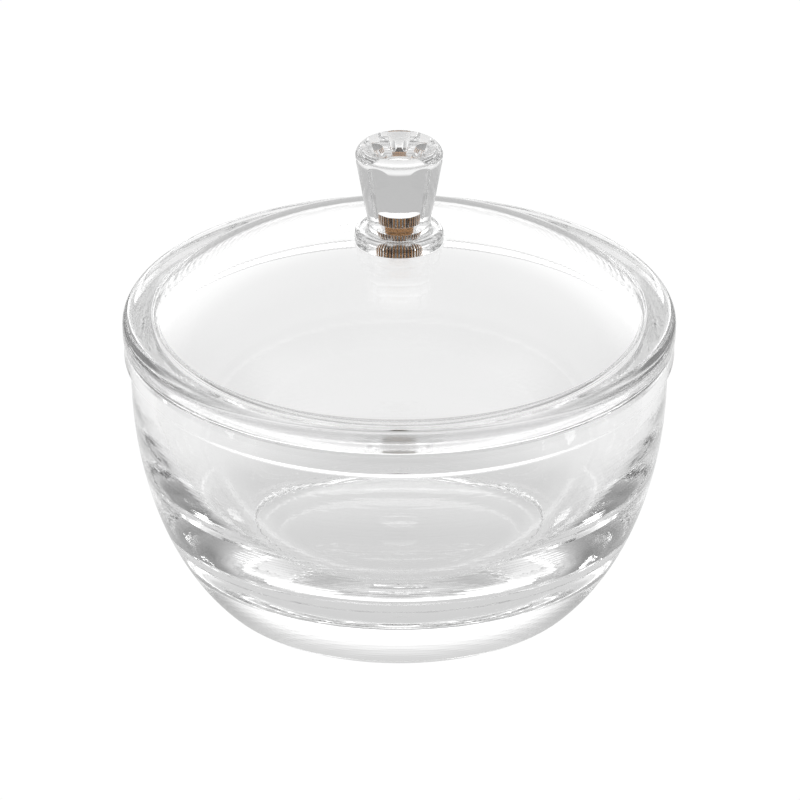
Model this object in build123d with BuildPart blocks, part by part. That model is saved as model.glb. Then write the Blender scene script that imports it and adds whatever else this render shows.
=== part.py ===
from build123d import *
import math
import os

# Round covered glass dish. +Z is up, the axis of the dish is Z, and the foot stands on Z = 0.

# --- Driving dimensions (mm) ---

# Dish, outside
DISH_HEIGHT = 70.0        # foot to rim
RIM_RADIUS = 69.7         # outside of the thicker band round the mouth
RIM_BAND = 5.5            # height of that band
RIM_PROUD = 1.65          # the band stands out this far from the wall
FOOT_RADIUS = 48.7        # where the bellied wall meets the foot plane
BELLY_LEVEL = 58.0        # height at which the wall becomes upright
BELLY_REACH = 40.0        # half width of the ellipse that shapes the outer belly
FOOT_ROUND = 0.8
RIM_ROUND = 0.8

# Dish, inside
RIM_WIDTH = 7.7           # mouth to the outside of the band
FLOOR_THICKNESS = 12.0
FLOOR_RADIUS = 30.0       # flat part of the floor inside
MOUTH_ROUND = 1.0
MARK_RADIUS = 5.2         # low round mark left by the press in the middle of the floor
MARK_HEIGHT = 0.5

# Underside of the dish
FOOT_RING_WIDTH = 5.4
FOOT_RECESS = 2.0

# Lid
LID_OVERHANG = 0.3        # the lid is this much wider than the dish's rim
LID_RIM_HEIGHT = 5.6      # seat to the flat shoulder on top
LID_EDGE_ROUND = 3.0
SHOULDER_WIDTH = 7.5      # edge of the lid to where the dome rises out of the shoulder
DOME_DROP = 25.0          # the centre of the dome's ellipse lies this far below the shoulder
LID_RISE = 24.65          # seat to the flat pad under the knob
LID_THICKNESS = 4.2
PAD_MARGIN = 0.6          # the pad is this much wider than the knob's flange
LIP_DEPTH = 3.5           # locating lip that drops into the mouth
LIP_WIDTH = 2.0
LIP_CLEARANCE = 0.6       # radial play of the lip in the mouth
LIP_ROUND = 0.9
SEAT_ROUND = 0.5

# Knob
FLANGE_RADIUS = 11.2
FLANGE_EDGE = 2.2         # height of the flange's upright wall
FLANGE_HEIGHT = 3.6
FLANGE_TOP_RADIUS = 10.0
COVE_RADIUS = 7.5         # narrowest radius, between flange and body
COVE_HEIGHT = 4.9
BODY_FOOT_RADIUS = 8.1
BODY_FOOT_HEIGHT = 5.8
BODY_TOP_RADIUS = 11.05
BODY_TOP_HEIGHT = 22.2
KNOB_HEIGHT = 26.1
FACE_RADIUS = 9.0         # round face on top
FACE_DISH = 0.25          # depth of the hollow in that face
KNOB_FLATS = 6            # flats cut on the tapered body, with round strips of the same width between them

# Insert, moulded into the knob
INSERT_RADIUS = 3.7
INSERT_LENGTH = 8.8
KNURL_LENGTH = 2.85       # each of the two knurled bands
KNURL_TEETH = 32
KNURL_DEPTH = 0.3
NECK_RADIUS = 3.2
THREAD_RADIUS = 2.0
THREAD_CLEARANCE = 0.05
DRILL_MARGIN = 1.0        # bore beyond the end of the screw

# Screw and washer under the lid
SCREW_REACH = 6.2         # length of screw inside the insert
HEAD_RADIUS = 3.9
HEAD_HEIGHT = 1.7
HEAD_ROUND = 0.8
DRIVE_WIDTH = 0.9
DRIVE_LENGTH = 4.2
DRIVE_DEPTH = 0.9
WASHER_MARGIN = 0.7       # washer beyond the screw head
WASHER_THICKNESS = 0.5
HOLE_CLEARANCE = 0.35     # radial play of the screw in lid and washer

FILM = 0.05               # air between two hard faces that touch only at their high spots

# --- Levels and radii that follow from them ---

wall_radius = RIM_RADIUS - RIM_PROUD
mouth_radius = RIM_RADIUS - RIM_WIDTH
lid_radius = RIM_RADIUS + LID_OVERHANG
shoulder_radius = lid_radius - SHOULDER_WIDTH
lid_seat_z = DISH_HEIGHT + FILM
shoulder_z = lid_seat_z + LID_RIM_HEIGHT
pad_z = lid_seat_z + LID_RISE
pad_radius = FLANGE_RADIUS + PAD_MARGIN
knob_z = pad_z + FILM
screw_hole_radius = THREAD_RADIUS + HOLE_CLEARANCE
washer_radius = HEAD_RADIUS + WASHER_MARGIN

os.makedirs("parts", exist_ok=True)

# --- Dish: thick pressed glass, bellied outside, smooth hollow inside ---

outer_centre = wall_radius - BELLY_REACH
outer_foot = (FOOT_RADIUS - outer_centre) / BELLY_REACH
outer_rise = BELLY_LEVEL / math.sqrt(1 - outer_foot ** 2)
outer_sweep = math.degrees(math.asin(BELLY_LEVEL / outer_rise))
band_z = DISH_HEIGHT - RIM_BAND
recess_radius = FOOT_RADIUS - FOOT_RING_WIDTH

with BuildPart() as dish:
    with BuildSketch(Plane.XZ) as dish_profile:
        with BuildLine():
            belly = EllipticalCenterArc(
                (outer_centre, BELLY_LEVEL), BELLY_REACH, outer_rise,
                start_angle=-outer_sweep, arc_size=outer_sweep)
            Polyline(
                belly @ 1,
                (wall_radius, band_z - RIM_PROUD),
                (RIM_RADIUS, band_z),
                (RIM_RADIUS, DISH_HEIGHT),
                (mouth_radius, DISH_HEIGHT),
                (mouth_radius, BELLY_LEVEL))
            EllipticalCenterArc(
                (FLOOR_RADIUS, BELLY_LEVEL), mouth_radius - FLOOR_RADIUS, BELLY_LEVEL - FLOOR_THICKNESS,
                start_angle=-90, arc_size=90)
            Line((FLOOR_RADIUS, FLOOR_THICKNESS), (MARK_RADIUS, FLOOR_THICKNESS))
            TangentArc(
                (0, FLOOR_THICKNESS + MARK_HEIGHT), (MARK_RADIUS, FLOOR_THICKNESS),
                tangent=(1, 0))
            Polyline(
                (0, FLOOR_THICKNESS + MARK_HEIGHT),
                (0, FOOT_RECESS),
                (recess_radius, FOOT_RECESS),
                (recess_radius, 0),
                belly @ 0)
        make_face()
        rim_corners = dish_profile.vertices().group_by(Axis.Y)[-1].sort_by(Axis.X)
        fillet(rim_corners[0], MOUTH_ROUND)
        fillet(rim_corners[-1], RIM_ROUND)
        fillet(dish_profile.vertices().group_by(Axis.Y)[0], FOOT_ROUND)
    revolve(axis=Axis.Z)
dish.part.label = "dish"

# --- Lid: pressed glass dome with a thick rim, a lip inside the mouth and a flat pad for the knob ---


def ellipse_through(low, high):
    """Return the half axes of the upright ellipse about (0, 0) through two (radius, level) points."""
    spread = (low[0] * high[1]) ** 2 - (high[0] * low[1]) ** 2
    return math.sqrt(spread / (high[1] ** 2 - low[1] ** 2)), math.sqrt(spread / (low[0] ** 2 - high[0] ** 2))


dome_z = shoulder_z - DOME_DROP
dome_reach, dome_rise = ellipse_through((shoulder_radius, DOME_DROP), (pad_radius, pad_z - dome_z))
hollow_reach = dome_reach - LID_THICKNESS
hollow_rise = dome_rise - LID_THICKNESS
lip_radius = mouth_radius - LIP_CLEARANCE
lip_inner_radius = lip_radius - LIP_WIDTH
under_pad_radius = washer_radius + PAD_MARGIN
under_pad_z = dome_z + hollow_rise * math.sqrt(1 - (under_pad_radius / hollow_reach) ** 2)


def dome_arc(reach, rise, outer, inner):
    """Draw the part of an ellipse about the dome's centre that runs in from one radius to another."""
    start = math.degrees(math.acos(outer / reach))
    end = math.degrees(math.acos(inner / reach))
    return EllipticalCenterArc((0, dome_z), reach, rise, start_angle=start, arc_size=end - start)


with BuildPart() as lid:
    with BuildSketch(Plane.XZ) as lid_profile:
        with BuildLine():
            crown = dome_arc(dome_reach, dome_rise, shoulder_radius, pad_radius)
            hollow = dome_arc(hollow_reach, hollow_rise, lip_inner_radius, under_pad_radius)
            Polyline(
                crown @ 1,
                (screw_hole_radius, pad_z),
                (screw_hole_radius, under_pad_z),
                hollow @ 1)
            Polyline(
                hollow @ 0,
                (lip_inner_radius, lid_seat_z - LIP_DEPTH),
                (lip_radius, lid_seat_z - LIP_DEPTH),
                (lip_radius, lid_seat_z),
                (lid_radius, lid_seat_z),
                (lid_radius, shoulder_z),
                crown @ 0)
        make_face()
        fillet(lid_profile.vertices().group_by(Axis.Y)[0], LIP_ROUND)
        rim_edge = lid_profile.vertices().sort_by(Axis.X)[-2:].sort_by(Axis.Y)
        fillet(rim_edge[0], SEAT_ROUND)
        fillet(rim_edge[1], LID_EDGE_ROUND)
    revolve(axis=Axis.Z)
lid.part.label = "lid"

# --- Insert: turned piece with two straight-knurled bands and a smooth neck between them ---

insert_top_z = knob_z + INSERT_LENGTH
bore_radius = THREAD_RADIUS + THREAD_CLEARANCE
bore_depth = SCREW_REACH + DRILL_MARGIN
groove_half_width = 0.9 * math.pi * INSERT_RADIUS / KNURL_TEETH

with BuildPart() as insert:
    with BuildSketch(Plane.XY.offset(knob_z)):
        Circle(NECK_RADIUS)
    extrude(amount=INSERT_LENGTH)
    with BuildSketch(Plane.XY.offset(knob_z), Plane.XY.offset(insert_top_z - KNURL_LENGTH)):
        Circle(INSERT_RADIUS)
        with PolarLocations(INSERT_RADIUS, KNURL_TEETH):
            Polygon(
                (-KNURL_DEPTH, 0), (KNURL_DEPTH, -2 * groove_half_width), (KNURL_DEPTH, 2 * groove_half_width),
                align=None, mode=Mode.SUBTRACT)
    extrude(amount=KNURL_LENGTH)
    with BuildSketch(Plane.XY.offset(knob_z)):
        Circle(bore_radius)
    extrude(amount=bore_depth, mode=Mode.SUBTRACT)
insert.part.label = "threaded_insert"

# --- Knob: clear moulding, round flange and cove, taper body with flats, the insert cast into its foot ---

flange_z = knob_z + FLANGE_EDGE
flange_top_z = knob_z + FLANGE_HEIGHT
cove_z = knob_z + COVE_HEIGHT
body_foot_z = knob_z + BODY_FOOT_HEIGHT
body_top_z = knob_z + BODY_TOP_HEIGHT
face_z = knob_z + KNOB_HEIGHT
taper = (BODY_TOP_RADIUS - BODY_FOOT_RADIUS) / (BODY_TOP_HEIGHT - BODY_FOOT_HEIGHT)


def flat_distance(level):
    """Return the distance of the flats from the axis at a level."""
    return (BODY_FOOT_RADIUS + taper * (level - body_foot_z)) * math.cos(math.pi / (2 * KNOB_FLATS))


with BuildPart() as knob:
    with BuildSketch(Plane.XZ):
        with BuildLine():
            Polyline((0, cove_z), (COVE_RADIUS, cove_z), (BODY_FOOT_RADIUS, body_foot_z))
            flank = Line((BODY_FOOT_RADIUS, body_foot_z), (BODY_TOP_RADIUS, body_top_z))
            TangentArc(flank @ 1, (FACE_RADIUS, face_z), tangent=flank % 1)
            TangentArc((0, face_z - FACE_DISH), (FACE_RADIUS, face_z), tangent=(1, 0))
            Line((0, face_z - FACE_DISH), (0, cove_z))
        make_face()
    revolve(axis=Axis.Z)
    with BuildSketch(Plane.XY.offset(cove_z)):
        RegularPolygon(flat_distance(cove_z), KNOB_FLATS, major_radius=False, rotation=-90)
    with BuildSketch(Plane.XY.offset(face_z)):
        RegularPolygon(flat_distance(face_z), KNOB_FLATS, major_radius=False, rotation=-90)
    loft(mode=Mode.INTERSECT)
    with BuildSketch(Plane.XZ):
        with BuildLine():
            Polyline((0, cove_z), (0, knob_z), (FLANGE_RADIUS, knob_z), (FLANGE_RADIUS, flange_z))
            TangentArc((FLANGE_RADIUS, flange_z), (FLANGE_TOP_RADIUS, flange_top_z), tangent=(0, 1))
            TangentArc((COVE_RADIUS, cove_z), (FLANGE_TOP_RADIUS, flange_top_z), tangent=(0, -1))
            Line((COVE_RADIUS, cove_z), (0, cove_z))
        make_face()
    revolve(axis=Axis.Z)
    add(insert.part, mode=Mode.SUBTRACT)
    with BuildSketch(Plane.XY.offset(knob_z)):
        Circle(bore_radius)
    extrude(amount=bore_depth, mode=Mode.SUBTRACT)
knob.part.label = "knob"

# --- Washer between the screw head and the underside of the lid ---

washer_top_z = under_pad_z - FILM
head_top_z = washer_top_z - WASHER_THICKNESS

with BuildPart() as washer:
    with BuildSketch(Plane.XY.offset(head_top_z)):
        Circle(washer_radius)
        Circle(screw_hole_radius, mode=Mode.SUBTRACT)
    extrude(amount=WASHER_THICKNESS)
washer.part.label = "washer"

# --- Screw: low round head with a cross recess, reaching up through the lid into the insert ---

with BuildPart() as screw:
    with BuildSketch(Plane.XY.offset(head_top_z - HEAD_HEIGHT)):
        Circle(HEAD_RADIUS)
    extrude(amount=HEAD_HEIGHT)
    fillet(screw.edges().group_by(Axis.Z)[0], HEAD_ROUND)
    with BuildSketch(Plane.XY.offset(head_top_z - HEAD_HEIGHT)):
        Rectangle(DRIVE_LENGTH, DRIVE_WIDTH)
        Rectangle(DRIVE_WIDTH, DRIVE_LENGTH)
    extrude(amount=DRIVE_DEPTH, mode=Mode.SUBTRACT)
    with BuildSketch(Plane.XY.offset(head_top_z)):
        Circle(THREAD_RADIUS)
    extrude(amount=knob_z + SCREW_REACH - head_top_z)
screw.part.label = "screw"

for piece in (dish, lid, insert, knob, washer, screw):
    export_step(piece.part, f"parts/{piece.part.label}.step")
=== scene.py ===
"""Covered glass dish: the visual model and its studio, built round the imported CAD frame."""

import logging
import math
from collections.abc import Callable
from dataclasses import dataclass, field

import bpy
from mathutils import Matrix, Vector


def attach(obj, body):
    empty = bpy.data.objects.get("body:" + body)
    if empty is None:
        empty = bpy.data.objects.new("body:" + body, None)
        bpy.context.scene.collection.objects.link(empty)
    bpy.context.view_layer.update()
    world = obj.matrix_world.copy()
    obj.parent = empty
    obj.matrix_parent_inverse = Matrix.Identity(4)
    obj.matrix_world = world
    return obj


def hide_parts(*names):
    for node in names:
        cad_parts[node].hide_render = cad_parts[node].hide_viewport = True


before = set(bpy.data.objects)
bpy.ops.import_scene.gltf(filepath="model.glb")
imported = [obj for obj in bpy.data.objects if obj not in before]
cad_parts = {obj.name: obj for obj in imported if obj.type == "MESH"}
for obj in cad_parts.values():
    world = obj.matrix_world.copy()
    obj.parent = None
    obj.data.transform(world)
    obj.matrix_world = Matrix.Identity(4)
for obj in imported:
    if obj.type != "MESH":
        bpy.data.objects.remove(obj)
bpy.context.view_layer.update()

log = logging.getLogger("covered_dish")

MM = 0.001
SHARP_ANGLE = math.radians(32)  # edges sharper than this stay crisp under smooth shading
Point = tuple[float, float]
Shape = Callable[[float, float, float], Point]


def linear(hex_colour: str) -> tuple[float, float, float, float]:
    """Turn an sRGB hex colour into the linear colour that shaders take.

    Args:
        hex_colour: Six hex digits, such as "d8d4cc".

    Returns:
        Red, green, blue and an alpha of one.
    """
    channels = [int(hex_colour[i:i + 2], 16) / 255 for i in (0, 2, 4)]
    red, green, blue = (c / 12.92 if c <= 0.04045 else ((c + 0.055) / 1.055) ** 2.4 for c in channels)
    return red, green, blue, 1.0


def add_node(tree: bpy.types.NodeTree, kind: str, links: dict | None = None, **settings) -> bpy.types.Node:
    """Add a node to a tree, set its properties and sockets, and link its inputs.

    Args:
        tree: The node tree.
        kind: The node's class name.
        links: Input socket name or number, to the output socket that feeds it.
        settings: Node properties by name; a dict under "inputs" sets the values of input sockets.

    Returns:
        The new node.
    """
    node = tree.nodes.new(kind)
    for name, value in settings.pop("inputs", {}).items():
        node.inputs[name].default_value = value
    for name, value in settings.items():
        setattr(node, name, value)
    for name, source in (links or {}).items():
        tree.links.new(source, node.inputs[name])
    return node


# --- Outlines and turned meshes ---


@dataclass
class Outline:
    """Half section of a round piece: radius and height from point to point, in millimetres."""

    points: list[Point] = field(default_factory=list)

    def to(self, *points: Point) -> "Outline":
        """Run straight to each point in turn."""
        self.points.extend(points)
        return self

    def ellipse(self, centre: Point, reach: float, rise: float, start: float, end: float,
                steps: int = 48) -> "Outline":
        """Follow a stretch of an upright ellipse.

        Args:
            centre: Centre of the ellipse.
            reach: Its half width.
            rise: Its half height.
            start: Angle at which the stretch starts, in degrees.
            end: Angle at which it ends.
            steps: Straight steps along it.

        Returns:
            This outline.
        """
        for i in range(steps + 1):
            turn = math.radians(start + (end - start) * i / steps)
            self.points.append((centre[0] + reach * math.cos(turn), centre[1] + rise * math.sin(turn)))
        return self

    def round_corner(self, near: Point, radius: float, steps: int = 10) -> "Outline":
        """Round the corner nearest to a point.

        Args:
            near: Where the corner is.
            radius: Radius of the rounding.
            steps: Straight steps along it.

        Returns:
            This outline.
        """
        k = min(range(len(self.points)), key=lambda i: math.dist(self.points[i], near))
        corner = Vector(self.points[k])
        back = (Vector(self.points[k - 1]) - corner).normalized()
        ahead = (Vector(self.points[k + 1]) - corner).normalized()
        half = back.angle(ahead) / 2
        middle = corner + (back + ahead).normalized() * radius / math.sin(half)
        first = corner + back * radius / math.tan(half) - middle
        last = corner + ahead * radius / math.tan(half) - middle
        sweep = first.angle_signed(last)
        arc = []
        for i in range(steps + 1):
            turn = -sweep * i / steps
            arc.append((middle.x + first.x * math.cos(turn) - first.y * math.sin(turn),
                        middle.y + first.x * math.sin(turn) + first.y * math.cos(turn)))
        self.points[k:k + 1] = arc
        return self

    def rows(self, longest: float = 1.6, edge: float = 0.12) -> list[Point]:
        """Return the points with long straight runs divided, and a close row at each end of a run.

        Args:
            longest: The longest step to leave.
            edge: Distance of the close rows from a run's ends.

        Returns:
            Radius and height of each row of the mesh.
        """
        rows = [self.points[0]]
        for a, b in zip(self.points, self.points[1:]):
            length = math.dist(a, b)
            shares = [1.0]
            if length > 4 * edge:
                count = max(1, math.ceil((length - 2 * edge) / longest))
                shares = [(edge + (length - 2 * edge) * i / count) / length for i in range(count + 1)] + [1.0]
            rows.extend((a[0] + (b[0] - a[0]) * s, a[1] + (b[1] - a[1]) * s) for s in shares if length > 1e-6)
        return rows


def tangent_arc(start: Point, end: Point, way: Point, steps: int) -> list[Point]:
    """Return points on the arc that leaves start in a direction and arrives at end.

    Args:
        start: First point.
        end: Last point.
        way: Direction at the first point.
        steps: Straight steps along the arc.

    Returns:
        The points, both ends included.
    """
    a, b, t = Vector(start), Vector(end), Vector(way).normalized()
    normal = Vector((-t.y, t.x))
    chord = b - a
    radius = chord.length_squared / (2 * chord.dot(normal))
    centre = a + normal * radius
    first, last = a - centre, b - centre
    sweep = -first.angle_signed(last)
    points = []
    for i in range(steps + 1):
        turn = sweep * i / steps
        points.append((centre.x + first.x * math.cos(turn) - first.y * math.sin(turn),
                       centre.y + first.x * math.sin(turn) + first.y * math.cos(turn)))
    return points


def spin(name: str, rows: list[Point], segments: int, shape: Shape | None = None,
         closed: bool = False) -> bpy.types.Object:
    """Turn rows about the Z axis into a mesh.

    Args:
        name: Name of the piece.
        rows: Radius and height of each row, in millimetres.
        segments: Faces around the axis.
        shape: Moves the point at (row radius, height, angle), for a piece that isn't quite round.
        closed: True if the last row joins the first, as on a ring.

    Returns:
        The new object, linked to the scene.
    """
    vertices, rings = [], []
    for r, z in rows[:-1] if closed else rows:
        if r < 1e-4:
            rings.append([len(vertices)])
            vertices.append((0.0, 0.0, z * MM))
            continue
        rings.append(list(range(len(vertices), len(vertices) + segments)))
        for i in range(segments):
            turn = 2 * math.pi * i / segments
            across, up = shape(r, z, turn) if shape else (r, z)
            vertices.append((across * MM * math.cos(turn), across * MM * math.sin(turn), up * MM))
    if closed:
        rings.append(rings[0])
    faces = []
    for low, high in zip(rings, rings[1:]):
        for i in range(segments):
            j = (i + 1) % segments
            if len(low) == 1 and len(high) > 1:
                faces.append((low[0], high[j], high[i]))
            elif len(high) == 1 and len(low) > 1:
                faces.append((low[i], low[j], high[0]))
            elif len(low) > 1:
                faces.append((low[i], low[j], high[j], high[i]))
    mesh = bpy.data.meshes.new(name)
    mesh.from_pydata(vertices, [], faces)
    mesh.validate()
    mesh.shade_smooth()
    piece = bpy.data.objects.new(name, mesh)
    bpy.context.scene.collection.objects.link(piece)
    return piece


# --- Finishes ---


WAVE_TURN = 20  # radians that a wave texture turns through in one unit of its scale
LAMP_TINT = "f4f6f5"  # what a clear wall leaves of the lamps' light


@dataclass(frozen=True)
class ClearFinish:
    """A clear solid: glossy surface, light bent inside, and the slight waves of how it was made.

    The waves break long reflections into streaks, as in any pressed or moulded piece. Light from lamps goes
    straight through, so that nothing inside or behind is black.
    """

    name: str
    tint: str
    ior: float
    wave_mm: float
    wave_height_mm: float
    ripple_mm: float
    ripple_height_mm: float
    haze: float = 0.0

    def make(self) -> bpy.types.Material:
        """Build the material.

        Returns:
            The material, ready to put on a piece.
        """
        material = bpy.data.materials.new(self.name)
        material.use_nodes = True
        tree = material.node_tree
        tree.nodes.clear()
        place = add_node(tree, "ShaderNodeTexCoord").outputs["Object"]
        wave = add_node(tree, "ShaderNodeTexNoise", {"Vector": place},
                        inputs={"Scale": 1 / (self.wave_mm * MM), "Detail": 1.0})
        ripple = add_node(tree, "ShaderNodeTexNoise", {"Vector": place},
                          inputs={"Scale": 1 / (self.ripple_mm * MM), "Detail": 2.0})
        slow = add_node(tree, "ShaderNodeBump", {"Height": wave.outputs["Fac"]},
                        inputs={"Distance": self.wave_height_mm * MM, "Strength": 1.0})
        fine = add_node(tree, "ShaderNodeBump",
                        {"Height": ripple.outputs["Fac"], "Normal": slow.outputs["Normal"]},
                        inputs={"Distance": self.ripple_height_mm * MM, "Strength": 1.0})
        haze = add_node(tree, "ShaderNodeMapRange", {"Value": wave.outputs["Fac"]},
                        inputs={"From Min": 0.45, "From Max": 0.75, "To Min": 0.0, "To Max": self.haze})
        body = add_node(tree, "ShaderNodeBsdfPrincipled",
                        {"Normal": fine.outputs["Normal"], "Roughness": haze.outputs["Result"]},
                        inputs={"Base Color": linear(self.tint), "IOR": self.ior, "Transmission Weight": 1.0})
        paths = add_node(tree, "ShaderNodeLightPath")
        through = add_node(tree, "ShaderNodeBsdfTransparent", inputs={"Color": linear(LAMP_TINT)})
        lamp_ray = paths.outputs["Is Shadow Ray"]
        surface = add_node(tree, "ShaderNodeMixShader",
                           {0: lamp_ray, 1: body.outputs["BSDF"], 2: through.outputs["BSDF"]})
        add_node(tree, "ShaderNodeOutputMaterial", {"Surface": surface.outputs["Shader"]})
        return material


@dataclass(frozen=True)
class KnurlShade:
    """Painted shade in the cut grooves of a knurl: the colour is darkened where shade falls between the teeth.
    """

    painted_groove_shade: str
    crest_mm: float
    shallow_mm: float = 0.02
    deep_mm: float = 0.24
    reach_mm: float = 0.4

    def socket(self, tree: bpy.types.NodeTree, place: bpy.types.NodeSocket,
               shade: bpy.types.NodeSocket) -> bpy.types.NodeSocket:
        """Paint shade into the grooves: the deeper below the crest of the teeth, the darker.

        Args:
            tree: The material's nodes.
            place: The point on the piece.
            shade: The metal's colour so far.

        Returns:
            The colour with the painted shade in its grooves.
        """
        parts = add_node(tree, "ShaderNodeSeparateXYZ", {"Vector": place})
        flat = add_node(tree, "ShaderNodeCombineXYZ", {"X": parts.outputs["X"], "Y": parts.outputs["Y"]})
        out = add_node(tree, "ShaderNodeVectorMath", {0: flat.outputs["Vector"]}, operation="LENGTH")
        depth = add_node(tree, "ShaderNodeMapRange", {"Value": out.outputs["Value"]},
                         inputs={"From Min": (self.crest_mm - self.shallow_mm) * MM,
                                 "From Max": (self.crest_mm - self.deep_mm) * MM})
        band = add_node(tree, "ShaderNodeMath", {0: out.outputs["Value"]}, operation="GREATER_THAN",
                        inputs={1: (self.crest_mm - self.reach_mm) * MM})
        cut = add_node(tree, "ShaderNodeMath", {0: depth.outputs["Result"], 1: band.outputs["Value"]},
                       operation="MULTIPLY")
        # Painted shade: the grooves take a dark colour, the deeper the darker.
        dark = add_node(tree, "ShaderNodeMix", {"Factor": cut.outputs["Value"], 6: shade}, data_type="RGBA")
        dark.inputs[7].default_value = linear(self.painted_groove_shade)
        return dark.outputs[2]


@dataclass(frozen=True)
class MetalFinish:
    """Turned or plated metal: fine lines round the axis, and a patchy sheen from handling."""

    name: str
    colour: str
    dark: str
    roughness: float
    line_mm: float
    line_height_mm: float
    patch_mm: float = 1.5
    knurl: KnurlShade | None = None

    def make(self) -> bpy.types.Material:
        """Build the material.

        Returns:
            The material, ready to put on a piece.
        """
        material = bpy.data.materials.new(self.name)
        material.use_nodes = True
        tree = material.node_tree
        tree.nodes.clear()
        place = add_node(tree, "ShaderNodeTexCoord").outputs["Object"]
        patches = add_node(tree, "ShaderNodeTexNoise", {"Vector": place},
                           inputs={"Scale": 1 / (self.patch_mm * MM), "Detail": 4.0})
        lines = add_node(tree, "ShaderNodeTexWave", {"Vector": place}, wave_type="BANDS", bands_direction="Z",
                         inputs={"Scale": 1 / (WAVE_TURN * self.line_mm * MM),
                                 "Distortion": 0.6, "Detail": 2.0})
        colour = add_node(tree, "ShaderNodeMix", {"Factor": patches.outputs["Fac"]}, data_type="RGBA")
        colour.inputs[6].default_value = linear(self.dark)
        colour.inputs[7].default_value = linear(self.colour)
        shade = colour.outputs[2]
        if self.knurl:
            shade = self.knurl.socket(tree, place, shade)
        sheen = add_node(tree, "ShaderNodeMapRange", {"Value": patches.outputs["Fac"]},
                         inputs={"To Min": 0.7 * self.roughness, "To Max": 1.4 * self.roughness})
        bump = add_node(tree, "ShaderNodeBump", {"Height": lines.outputs["Fac"]},
                        inputs={"Distance": self.line_height_mm * MM, "Strength": 1.0})
        body = add_node(tree, "ShaderNodeBsdfPrincipled",
                        {"Base Color": shade, "Roughness": sheen.outputs["Result"],
                         "Normal": bump.outputs["Normal"]},
                        inputs={"Metallic": 1.0})
        add_node(tree, "ShaderNodeOutputMaterial", {"Surface": body.outputs["BSDF"]})
        return material


# Soda-lime glass pressed in an iron mould: the chilled skin has slow waves, which bend the long reflections.
DISH_GLASS = ClearFinish("pressed_soda_lime_glass_dish", tint="ffffff", ior=1.52, wave_mm=14.0,
                         wave_height_mm=0.02, ripple_mm=4.0, ripple_height_mm=0.002)

# The same glass, pressed thin and polished by flame: longer, flatter waves, so the dome looks almost even.
LID_GLASS = ClearFinish("pressed_soda_lime_glass_lid", tint="ffffff", ior=1.52, wave_mm=20.0,
                        wave_height_mm=0.01, ripple_mm=5.0, ripple_height_mm=0.001)

# Acrylic moulded in a polished tool: flatter than glass, so the flats and the insert show with sharp edges.
ACRYLIC = ClearFinish("moulded_acrylic", tint="ffffff", ior=1.49, wave_mm=6.0,
                      wave_height_mm=0.002, ripple_mm=2.0, ripple_height_mm=0.0005)

# Soft vinyl cut from sheet: cloudy patches and a dull skin set it off from the glass that it sits against.
VINYL = ClearFinish("soft_clear_vinyl", tint="f2f2f0", ior=1.45, wave_mm=3.0,
                    wave_height_mm=0.01, ripple_mm=1.0, ripple_height_mm=0.002, haze=0.25)

# Turned brass with straight knurls: warm, patchy metal with fine tool rings, and painted shade darkening the
# cut grooves.
BRASS = MetalFinish("turned_knurled_brass", colour="c99a62", dark="9a6c3e", roughness=0.20, line_mm=0.12,
                    line_height_mm=0.004, knurl=KnurlShade(painted_groove_shade="33210f", crest_mm=3.7))

# Steel with bright nickel plate: a soft grey mirror that takes the tone of the pale room.
STEEL = MetalFinish("nickel_plated_steel", colour="c9c6c0", dark="a5a29c", roughness=0.18, line_mm=0.10,
                    line_height_mm=0.003)


# --- Pieces: sizes in millimetres, heights from the table ---

FILM = 0.05  # gap between pieces that rest on each other, in millimetres
AIR = 0.02  # film of air between the insert and the plastic round it
SCREW_REACH = 6.2  # how far the screw goes into the insert


def dress(piece: bpy.types.Object, material: bpy.types.Material, body: str, node: str) -> None:
    """Give a piece its material and its body, and hide the CAD node it stands for.

    Args:
        piece: The piece.
        material: Its material.
        body: The CAD body it moves with.
        node: The CAD node it shows.
    """
    piece.data.materials.append(material)
    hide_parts(node)
    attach(piece, body)


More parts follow.
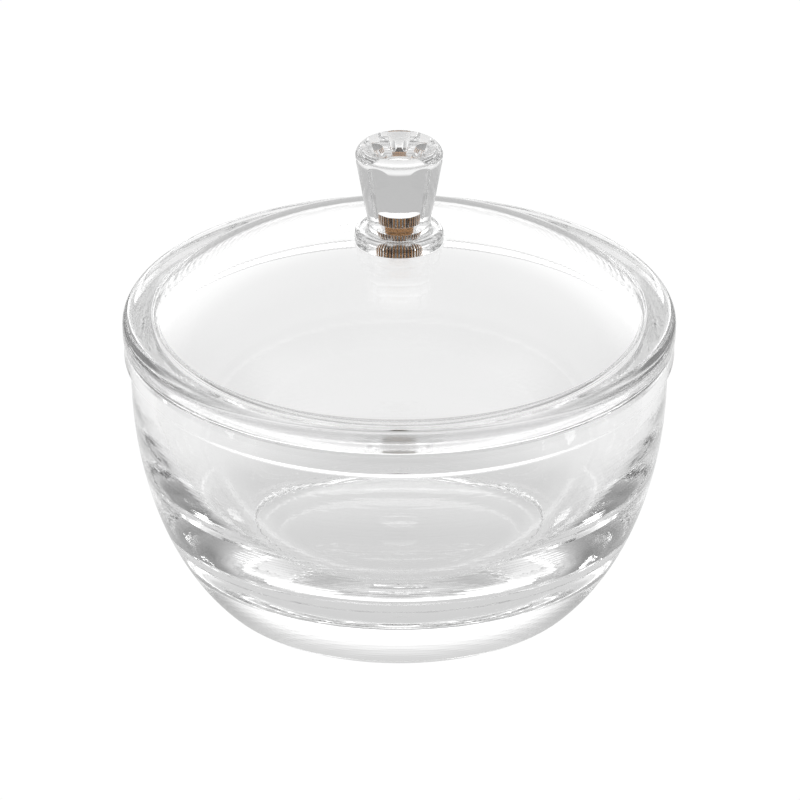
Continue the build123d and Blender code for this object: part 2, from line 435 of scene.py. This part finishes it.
@dataclass
class Dish:
    """The thick pressed bowl: bellied outside, smooth hollow inside, foot ring below."""

    height: float = 70.0
    wall_radius: float = 68.05
    rim_radius: float = 69.7
    rim_band: float = 5.5
    foot_radius: float = 48.7
    belly_level: float = 58.0
    belly_reach: float = 40.0
    foot_round: float = 0.8
    rim_round: float = 0.8
    mouth_radius: float = 62.0
    floor: float = 12.0
    floor_radius: float = 30.0
    mouth_round: float = 1.0
    band_round: float = 0.5
    cove_round: float = 0.8
    mark_radius: float = 5.2
    mark_height: float = 0.5
    mark_steps: int = 8
    ring_width: float = 5.4
    recess: float = 2.0
    recess_round: float = 0.3
    segments: int = 320

    def outline(self) -> Outline:
        """Draw the half section.

        Returns:
            The outline from the middle of the underside, over the rim, to the floor's middle.
        """
        centre = self.wall_radius - self.belly_reach
        across = (self.foot_radius - centre) / self.belly_reach
        rise = self.belly_level / math.sqrt(1 - across ** 2)
        start = -math.degrees(math.asin(self.belly_level / rise))
        ring = self.foot_radius - self.ring_width
        band = self.height - self.rim_band
        step = self.rim_radius - self.wall_radius
        outline = Outline().to((0, self.recess), (ring, self.recess), (ring, 0))
        outline.ellipse((centre, self.belly_level), self.belly_reach, rise, start, 0, 40)
        outline.to((self.wall_radius, band - step), (self.rim_radius, band),
                   (self.rim_radius, self.height), (self.mouth_radius, self.height))
        outline.ellipse((self.floor_radius, self.belly_level), self.mouth_radius - self.floor_radius,
                        self.belly_level - self.floor, 0, -90, 72)
        for i in range(self.mark_steps + 1):
            out = 1 - i / self.mark_steps
            outline.to((self.mark_radius * out, self.floor + self.mark_height * (1 - out ** 2)))
        outline.round_corner((self.mouth_radius, self.height), self.mouth_round)
        outline.round_corner((self.rim_radius, self.height), self.rim_round)
        outline.round_corner((self.rim_radius, band), self.band_round)
        outline.round_corner((self.wall_radius, band - step), self.cove_round)
        outline.round_corner((self.foot_radius, 0), self.foot_round)
        outline.round_corner((ring, 0), self.foot_round)
        outline.round_corner((ring, self.recess), self.recess_round)
        return outline

    def build(self) -> bpy.types.Object:
        """Build and dress the dish.

        Returns:
            The piece, linked to the scene.
        """
        piece = spin("dish_glass", self.outline().rows(), self.segments)
        dress(piece, DISH_GLASS.make(), "dish_body", "dish")
        return piece


@dataclass
class Lid:
    """The pressed dome: thick rounded rim, lip inside the mouth, flat pad and screw hole in the middle."""

    seat: float = 70.0 + FILM
    radius: float = 70.0
    rim_height: float = 5.6
    edge_round: float = 3.0
    shoulder_radius: float = 62.5
    dome_drop: float = 25.0
    rise: float = 24.65
    thickness: float = 4.2
    pad_radius: float = 11.8
    lip_radius: float = 61.4
    lip_depth: float = 3.5
    lip_width: float = 2.0
    lip_round: float = 0.9
    seat_round: float = 0.5
    shoulder_round: float = 0.8
    small_round: float = 0.3
    hole_radius: float = 2.35
    under_pad_radius: float = 5.2
    segments: int = 320

    @property
    def pad(self) -> float:
        """Level of the pad under the knob."""
        return self.seat + self.rise

    @property
    def centre(self) -> float:
        """Level of the middle of the dome's ellipses."""
        return self.seat + self.rim_height - self.dome_drop

    @property
    def half_axes(self) -> Point:
        """Half axes of the dome's outer ellipse, which meets the shoulder and the pad.

        Returns:
            Half width and half height.
        """
        low, high = (self.shoulder_radius, self.dome_drop), (self.pad_radius, self.pad - self.centre)
        spread = (low[0] * high[1]) ** 2 - (high[0] * low[1]) ** 2
        reach = math.sqrt(spread / (high[1] ** 2 - low[1] ** 2))
        return reach, math.sqrt(spread / (low[0] ** 2 - high[0] ** 2))

    @property
    def under_pad(self) -> float:
        """Level of the small flat under the middle, where the washer sits."""
        return self.dome(self.thickness, self.under_pad_radius)

    def dome(self, depth: float, radius: float) -> float:
        """Return the level of the surface a depth below the top of the dome, at a distance from the axis."""
        reach, rise = self.half_axes
        return self.centre + (rise - depth) * math.sqrt(1 - (radius / (reach - depth)) ** 2)

    def dome_run(self, depth: float, start: float, end: float, steps: int = 48) -> list[Point]:
        """Return points along a dome surface from one radius to another."""
        radii = [start + (end - start) * i / steps for i in range(steps + 1)]
        return [(r, self.dome(depth, r)) for r in radii]

    def outline(self) -> Outline:
        """Draw the half section.

        Returns:
            The outline, closed on itself round the screw hole.
        """
        shoulder = self.seat + self.rim_height
        inner = self.lip_radius - self.lip_width
        foot = self.seat - self.lip_depth
        middle = (self.hole_radius, (self.under_pad + self.pad) / 2)
        outline = Outline().to(middle, (self.hole_radius, self.under_pad))
        outline.to(*self.dome_run(self.thickness, self.under_pad_radius, inner))
        outline.to((inner, foot), (self.lip_radius, foot), (self.lip_radius, self.seat),
                   (self.radius, self.seat), (self.radius, shoulder))
        outline.to(*self.dome_run(0, self.shoulder_radius, self.pad_radius))
        outline.to((self.hole_radius, self.pad), middle)
        outline.round_corner((self.radius, shoulder), self.edge_round, 16)
        outline.round_corner((self.radius, self.seat), self.seat_round)
        outline.round_corner((self.lip_radius, self.seat), self.small_round)
        outline.round_corner((self.lip_radius, foot), self.lip_round)
        outline.round_corner((inner, foot), self.lip_round)
        outline.round_corner((self.hole_radius, self.pad), self.small_round)
        outline.round_corner((self.pad_radius, self.pad), self.small_round, 3)
        outline.round_corner((self.shoulder_radius, shoulder), self.shoulder_round, 6)
        return outline

    def build(self) -> bpy.types.Object:
        """Build and dress the lid.

        Returns:
            The piece, linked to the scene.
        """
        piece = spin("lid_glass", self.outline().rows(), self.segments, closed=True)
        dress(piece, LID_GLASS.make(), "lid_body", "lid")
        return piece


@dataclass
class Insert:
    """The brass insert in the knob's foot: two straight-knurled bands and a smooth neck."""

    foot: float
    radius: float = 3.7
    length: float = 8.8
    knurl_length: float = 2.85
    knurl_depth: float = 0.3
    teeth: int = 32
    neck_radius: float = 3.2
    bore_radius: float = 2.05
    bore_depth: float = 7.2
    root_share: float = 0.85
    tip_share: float = 0.35
    slope_share: float = 0.5
    edge_round: float = 0.12
    neck_round: float = 0.15
    steps_per_tooth: int = 15

    def skin(self, gap: float) -> Outline:
        """Draw the outside of the half section, grown by a gap.

        Args:
            gap: How far outside the metal the outline runs.

        Returns:
            The outline from the middle of the top to the foot.
        """
        z = self.foot
        top = z + self.length + gap
        low, high = z + self.knurl_length + gap, top - self.knurl_length - 2 * gap
        wide, neck = self.radius + gap, self.neck_radius + gap
        outline = Outline().to((0, top), (wide, top), (wide, high), (neck, high))
        outline.to((neck, low), (wide, low), (wide, z))
        for level in (low, high, top):
            outline.round_corner((wide, level), self.edge_round, 3)
        for level in (low, high):
            outline.round_corner((neck, level), self.neck_round, 3)
        return outline

    def outline(self) -> Outline:
        """Draw the half section.

        Returns:
            The outline from the bottom of the bore, out and up, to the middle of the top.
        """
        z, top = self.foot, self.foot + self.length
        low, high = z + self.knurl_length, top - self.knurl_length
        bore_end = z + self.bore_depth
        outline = Outline().to((0, bore_end), (self.bore_radius, bore_end), (self.bore_radius, z))
        outline.to((self.radius, z), (self.radius, low), (self.neck_radius, low), (self.neck_radius, high),
                   (self.radius, high), (self.radius, top), (0, top))
        for level in (z, low, high, top):
            outline.round_corner((self.radius, level), self.edge_round, 3)
        for level in (low, high):
            outline.round_corner((self.neck_radius, level), self.neck_round, 3)
        return outline

    def knurl(self, r: float, z: float, turn: float) -> Point:
        """Cut the teeth of the knurl into the two bands.

        Args:
            r: Radius of the row.
            z: Its height.
            turn: Angle round the axis.

        Returns:
            Radius and height of the point.
        """
        share = min(1.0, max(0.0, (r - self.neck_radius) / (self.radius - self.neck_radius)))
        if share < self.root_share:
            return r, z
        pitch = 2 * math.pi / self.teeth
        phase = abs((turn % pitch) / pitch - 0.5) * 2
        down = min(1.0, max(0.0, (phase - self.tip_share) / self.slope_share))
        cut = self.knurl_depth * down * (share - self.root_share) / (1 - self.root_share)
        return r - cut, z

    def build(self) -> bpy.types.Object:
        """Build and dress the insert.

        Returns:
            The piece, linked to the scene.
        """
        rows = self.outline().rows(longest=0.8, edge=0.04)
        piece = spin("insert_brass", rows, self.teeth * self.steps_per_tooth, self.knurl)
        piece.data.set_sharp_from_angle(angle=SHARP_ANGLE)
        dress(piece, BRASS.make(), "lid_body", "threaded_insert")
        return piece


@dataclass
class Knob:
    """The clear knob: round flange, cove, faceted taper body, rounded top with a round face."""

    foot: float
    insert: Insert
    flange_radius: float = 11.2
    flange_edge: float = 2.2
    flange_height: float = 3.6
    flange_top_radius: float = 10.0
    cove_radius: float = 7.5
    cove_height: float = 4.9
    body_foot_radius: float = 8.1
    body_foot_height: float = 5.8
    body_top_radius: float = 11.05
    body_top_height: float = 22.2
    height: float = 26.1
    face_radius: float = 9.0
    face_dish: float = 0.25
    face_steps: int = 24
    flange_round: float = 0.25
    cove_round: float = 0.15
    face_round: float = 0.12
    facets: int = 6
    facet_round: float = 0.03
    ease_radius: float = 4.0
    steps_per_facet: int = 80

    def outline(self) -> Outline:
        """Draw the half section.

        Returns:
            The outline from the insert's pocket, round the flange and up, to the face's middle.
        """
        z = self.foot
        outline = self.insert.skin(AIR)
        outline.to((self.flange_radius, z), (self.flange_radius, z + self.flange_edge))
        start = (self.flange_radius, z + self.flange_edge)
        end = (self.flange_top_radius, z + self.flange_height)
        outline.to(*tangent_arc(start, end, (0, 1), 10)[1:])
        cove = (self.cove_radius, z + self.cove_height)
        outline.to(*tangent_arc(cove, end, (0, -1), 10)[::-1][1:])
        outline.to((self.body_foot_radius, z + self.body_foot_height))
        flank = (self.body_top_radius - self.body_foot_radius, self.body_top_height - self.body_foot_height)
        shoulder = (self.body_top_radius, z + self.body_top_height)
        outline.to(*tangent_arc(shoulder, (self.face_radius, z + self.height), flank, self.face_steps))
        for i in range(1, self.face_steps + 1):
            out = 1 - i / self.face_steps
            outline.to((self.face_radius * out, z + self.height - self.face_dish * (1 - out ** 2)))
        outline.round_corner((self.flange_radius, z), self.flange_round, 6)
        outline.round_corner((self.body_foot_radius, z + self.body_foot_height), self.cove_round, 6)
        outline.round_corner((self.face_radius, z + self.height), self.face_round, 6)
        return outline

    def facet(self, r: float, z: float, turn: float) -> Point:
        """Return the point moved to the pocket's teeth, or cut back to the flats of the body.

        Args:
            r: Radius of the row.
            z: Its height.
            turn: Angle round the axis.

        Returns:
            Radius and height of the point.
        """
        up = z - self.foot
        if r < self.insert.radius + 2 * AIR and up < self.insert.length + 2 * AIR:
            return self.insert.knurl(r - AIR, z, turn)[0] + AIR, z
        if up < self.cove_height:
            return r, z
        climb = (up - self.body_foot_height) / (self.body_top_height - self.body_foot_height)
        flank = self.body_foot_radius + climb * (self.body_top_radius - self.body_foot_radius)
        half = math.pi / self.facets
        lean = (turn + math.pi / 2) % (2 * half) - half
        flat = flank * math.cos(half / 2) / math.cos(lean)
        mid, gap, ease = (r + flat) / 2, (r - flat) / 2, self.facet_round / 2
        return mid - math.hypot(gap, ease) + ease * min(1, r / self.ease_radius), z

    def build(self) -> bpy.types.Object:
        """Build and dress the knob.

        Returns:
            The piece, linked to the scene.
        """
        rows = self.outline().rows(longest=0.25, edge=0.05)
        piece = spin("knob_acrylic", rows, self.facets * self.steps_per_facet, self.facet)
        piece.data.set_sharp_from_angle(angle=SHARP_ANGLE)
        dress(piece, ACRYLIC.make(), "lid_body", "knob")
        return piece


@dataclass
class Washer:
    """The soft clear washer between the screw's head and the glass."""

    top: float
    radius: float = 4.6
    hole_radius: float = 2.35
    thickness: float = 0.5
    edge_round: float = 0.12
    segments: int = 96

    def build(self) -> bpy.types.Object:
        """Build and dress the washer.

        Returns:
            The piece, linked to the scene.
        """
        low = self.top - self.thickness
        middle = (self.hole_radius, self.top - self.thickness / 2)
        corners = [(self.hole_radius, low), (self.radius, low),
                   (self.radius, self.top), (self.hole_radius, self.top)]
        outline = Outline().to(middle, *corners, middle)
        for corner in corners:
            outline.round_corner(corner, self.edge_round, 4)
        piece = spin("washer_vinyl", outline.rows(edge=0.05), self.segments, closed=True)
        dress(piece, VINYL.make(), "lid_body", "washer")
        return piece


@dataclass
class Screw:
    """The plated screw: low round head with a cross recess, and a threaded shank up into the insert."""

    top: float
    end: float
    head_radius: float = 3.9
    head_height: float = 1.7
    head_round: float = 0.8
    drive_width: float = 0.9
    drive_length: float = 4.2
    drive_depth: float = 0.9
    drive_slope: float = 0.1
    drive_step: float = 0.12
    under_head_round: float = 0.15
    thread_radius: float = 2.0
    thread_pitch: float = 0.7
    thread_depth: float = 0.35
    thread_start: float = 0.5
    crest_share: float = 0.12
    thread_steps: int = 10
    segments: int = 144

    def outline(self) -> Outline:
        """Draw the half section.

        Returns:
            The outline from the middle of the head's underside to the end of the shank.
        """
        low = self.top - self.head_height
        outline = Outline().to(*((self.drive_step * i, low) for i in range(25)))
        outline.to((self.head_radius, low), (self.head_radius, self.top), (self.thread_radius, self.top))
        length = self.end - self.top
        steps = math.ceil(length / self.thread_pitch * self.thread_steps)
        outline.to(*((self.thread_radius, self.top + length * i / steps) for i in range(1, steps)))
        outline.to((self.thread_radius - self.thread_depth, self.end), (0, self.end))
        outline.round_corner((self.head_radius, low), self.head_round, 8)
        outline.round_corner((self.head_radius, self.top), self.under_head_round, 3)
        return outline

    def cut(self, r: float, z: float, turn: float) -> Point:
        """Return the point with the cross recess sunk into the head and the thread cut into the shank.

        Args:
            r: Radius of the row.
            z: Its height.
            turn: Angle round the axis.

        Returns:
            Radius and height of the point.
        """
        if z <= self.top - self.head_height + 1e-6:
            x, y = sorted((abs(r * math.cos(turn)), abs(r * math.sin(turn))))
            inside = min(self.drive_width / 2 - x, self.drive_length / 2 - y)
            return r, z + self.drive_depth * min(1.0, max(0.0, inside / self.drive_slope))
        if self.top + self.thread_start < z and r > self.thread_radius - 0.01:
            phase = abs(((z - self.top) / self.thread_pitch - turn / (2 * math.pi)) % 1 - 0.5) * 2
            down = (phase - self.crest_share) / (1 - 2 * self.crest_share)
            return r - self.thread_depth * min(1.0, max(0.0, down)), z
        return r, z

    def build(self) -> bpy.types.Object:
        """Build and dress the screw.

        Returns:
            The piece, linked to the scene.
        """
        rows = self.outline().rows(longest=0.6, edge=0.06)
        piece = spin("screw_steel", rows, self.segments, self.cut)
        piece.data.set_sharp_from_angle(angle=SHARP_ANGLE)
        dress(piece, STEEL.make(), "lid_body", "screw")
        return piece


# --- Studio ---


@dataclass
class Camera:
    """The camera: it looks down at the object from the front; metres, with the lens in millimetres."""

    distance: float = 1.5473
    elevation: float = math.radians(26.93)
    aim: float = 0.04953
    lens: float = 273.4
    side: float = 0.0002

    def build(self) -> None:
        """Build the camera and make it the scene's."""
        data = bpy.data.cameras.new("camera")
        data.lens = self.lens
        data.clip_end = 10
        camera = bpy.data.objects.new("camera", data)
        bpy.context.scene.collection.objects.link(camera)
        back = Vector((0, -math.cos(self.elevation), math.sin(self.elevation)))
        camera.location = Vector((self.side, 0, self.aim)) + back * self.distance
        camera.rotation_euler = (math.pi / 2 - self.elevation, 0, 0)
        bpy.context.scene.camera = camera


@dataclass(frozen=True)
class Falloff:
    """How brightness runs along a stretch: strengths at rising places between 0 and 1."""

    places: tuple[float, ...]
    strengths: tuple[float, ...]

    def socket(self, tree: bpy.types.NodeTree, along: bpy.types.NodeSocket) -> bpy.types.NodeSocket:
        """Add the curve of strength to a tree.

        Args:
            tree: The node tree.
            along: The place along the stretch, between 0 and 1.

        Returns:
            The output that gives the strength.
        """
        ramp = add_node(tree, "ShaderNodeValToRGB", {"Fac": along})
        ramp.color_ramp.interpolation = "EASE"
        stops = ramp.color_ramp.elements
        while len(stops) < len(self.places):
            stops.new(0.5)
        for stop, place, strength in zip(stops, self.places, self.strengths):
            stop.position = place
            stop.color = (strength, strength, strength, 1.0)
        return ramp.outputs["Color"]


# How bright the room is at rising heights, from the horizon (0) to straight overhead (1): a bright low wall
# behind the dish, grey sides that give the glass its dark edges, and a dim front round the camera.
HEIGHTS = (0.0, 0.06, 0.2, 0.365, 0.535, 0.71, 0.865, 1.0)
BACK_SKY = Falloff(HEIGHTS, (0.85, 1.20, 1.50, 1.20, 0.70, 0.50, 0.50, 0.70))
SIDE_SKY = Falloff(HEIGHTS, (0.30, 0.32, 0.28, 0.20, 0.32, 0.45, 0.95, 0.70))
FRONT_SKY = Falloff(HEIGHTS, (0.36, 0.38, 0.38, 0.50, 0.60, 0.75, 0.70, 0.70))

# The board seen through the glass, out from the middle, with light and shade painted into its glow: a painted
# shadow under the foot, a painted pool of light round the dish, darker further out, and brighter far out, as
# if the board curved up behind. Places are shares of the reach, which is in metres.
BOARD_REACH = 1.5
PAINTED_BOARD_LIGHT = Falloff((0.0, 0.034, 0.055, 0.17, 0.26, 0.60, 0.75, 1.0),
                (0.66, 0.68, 0.90, 0.96, 0.56, 0.56, 1.20, 1.20))


@dataclass(frozen=True)
class SoftBox:
    """A soft box: where it hangs, in degrees and metres, its width and depth, and how bright its face is."""

    name: str
    bearing: float
    height: float
    width: float
    depth: float
    glow: float
    distance: float = 1.6
    aim: float = 0.05

    def build(self) -> None:
        """Hang the box, facing the dish; bearings run clockwise from straight behind it."""
        turn, rise = math.radians(self.bearing), math.radians(self.height)
        level = math.cos(rise)
        way = Vector((math.sin(turn) * level, math.cos(turn) * level, math.sin(rise)))
        data = bpy.data.lights.new(self.name, "AREA")
        data.shape = "RECTANGLE"
        data.size, data.size_y = self.width, self.depth
        data.energy = self.glow * math.pi * self.width * self.depth
        lamp = bpy.data.objects.new(self.name, data)
        lamp.location = way * self.distance + Vector((0, 0, self.aim))
        lamp.rotation_euler = way.to_track_quat("Z", "Y").to_euler()
        bpy.context.scene.collection.objects.link(lamp)


SOFT_BOXES = (
    SoftBox("back_box", 0, 12, 2.4, 0.25, 0.7),
    SoftBox("left_box", -72, 13, 0.45, 0.22, 2.6),
    SoftBox("right_box", 75, 13, 0.40, 0.22, 2.2),
)


@dataclass
class Studio:
    """Pale floor and the soft grey room that the glass shows."""

    floor_size: float = 6.0
    floor_seen: float = 1.02
    gamma: float = 0.88
    bounces: int = 40
    glossy_bounces: int = 24

    def build(self) -> None:
        """Build floor, lamps and room."""
        self.floor()
        self.room()
        for box in SOFT_BOXES:
            box.build()
        view = bpy.context.scene.view_settings
        view.view_transform = "Standard"
        view.gamma = self.gamma
        cycles = bpy.context.scene.cycles
        cycles.max_bounces = self.bounces
        cycles.transmission_bounces = self.bounces
        cycles.glossy_bounces = self.glossy_bounces
        cycles.transparent_max_bounces = self.bounces
        cycles.use_denoising = True
        cycles.caustics_reflective = False
        cycles.caustics_refractive = False

    def floor(self) -> None:
        """Lay the floor: white board, plain when seen directly; seen through glass, its glow carries painted
        shadow and light.
        """
        mesh = bpy.data.meshes.new("floor")
        half = self.floor_size / 2
        corners = [(-half, -half, 0), (half, -half, 0), (half, half, 0), (-half, half, 0)]
        mesh.from_pydata(corners, [], [(0, 1, 2, 3)])
        floor = bpy.data.objects.new("floor", mesh)
        bpy.context.scene.collection.objects.link(floor)
        material = bpy.data.materials.new("white_board")
        material.use_nodes = True
        tree = material.node_tree
        tree.nodes.clear()
        place = add_node(tree, "ShaderNodeTexCoord").outputs["Object"]
        out = add_node(tree, "ShaderNodeVectorMath", {0: place}, operation="LENGTH").outputs["Value"]
        along = add_node(tree, "ShaderNodeMath", {0: out}, operation="DIVIDE", inputs={1: BOARD_REACH})
        # Painted shadow under the foot and painted light round the dish, set into the floor's glow by distance
        # from the middle.
        dim = PAINTED_BOARD_LIGHT.socket(tree, along.outputs["Value"])
        first = add_node(tree, "ShaderNodeLightPath").outputs["Is Camera Ray"]
        glow = add_node(tree, "ShaderNodeMix", {"Factor": first, "A": dim}, data_type="FLOAT",
                        inputs={"B": self.floor_seen})
        body = add_node(tree, "ShaderNodeEmission", {"Strength": glow.outputs["Result"]})
        add_node(tree, "ShaderNodeOutputMaterial", {"Surface": body.outputs["Emission"]})
        mesh.materials.append(material)

    def room(self) -> None:
        """Make the room: its strength runs with height, from the back, round the sides, to the front."""
        world = bpy.data.worlds.new("room")
        bpy.context.scene.world = world
        world.use_nodes = True
        tree = world.node_tree
        tree.nodes.clear()
        way = add_node(tree, "ShaderNodeTexCoord").outputs["Generated"]
        parts = add_node(tree, "ShaderNodeSeparateXYZ", {"Vector": way})
        flat = add_node(tree, "ShaderNodeCombineXYZ", {"X": parts.outputs["X"], "Y": parts.outputs["Y"]})
        around = add_node(tree, "ShaderNodeVectorMath", {0: flat.outputs["Vector"]}, operation="NORMALIZE")
        facing = add_node(tree, "ShaderNodeSeparateXYZ", {"Vector": around.outputs["Vector"]}).outputs["Y"]
        behind = add_node(tree, "ShaderNodeMapRange", {"Value": facing}, interpolation_type="SMOOTHSTEP",
                          inputs={"From Min": 0.45, "From Max": 0.9})
        ahead = add_node(tree, "ShaderNodeMapRange", {"Value": facing}, interpolation_type="SMOOTHSTEP",
                         inputs={"From Min": -0.3, "From Max": -0.8})
        skies = [sky.socket(tree, parts.outputs["Z"]) for sky in (BACK_SKY, SIDE_SKY, FRONT_SKY)]
        mixed = add_node(tree, "ShaderNodeMix", {"Factor": behind.outputs["Result"], 6: skies[1], 7: skies[0]},
                         data_type="RGBA")
        mixed = add_node(tree, "ShaderNodeMix",
                         {"Factor": ahead.outputs["Result"], 6: mixed.outputs[2], 7: skies[2]},
                         data_type="RGBA")
        light = add_node(tree, "ShaderNodeBackground", {"Color": mixed.outputs[2]}, inputs={"Strength": 1.0})
        add_node(tree, "ShaderNodeOutputWorld", {"Surface": light.outputs["Background"]})


def main() -> None:
    """Build the pieces and the studio, and report each piece."""
    logging.basicConfig(level=logging.INFO, format="%(name)s: %(message)s")
    lid = Lid()
    foot = lid.pad + FILM
    washer = Washer(top=lid.under_pad - FILM)
    screw = Screw(top=washer.top - washer.thickness, end=foot + SCREW_REACH)
    insert = Insert(foot)
    knob = Knob(foot, insert)
    pieces = [Dish().build(), lid.build(), knob.build(), insert.build(), washer.build(), screw.build()]
    for piece in pieces:
        log.info("%s: %d faces", piece.name, len(piece.data.polygons))
    Studio().build()
    Camera().build()


if __name__ == "__main__":
    main()
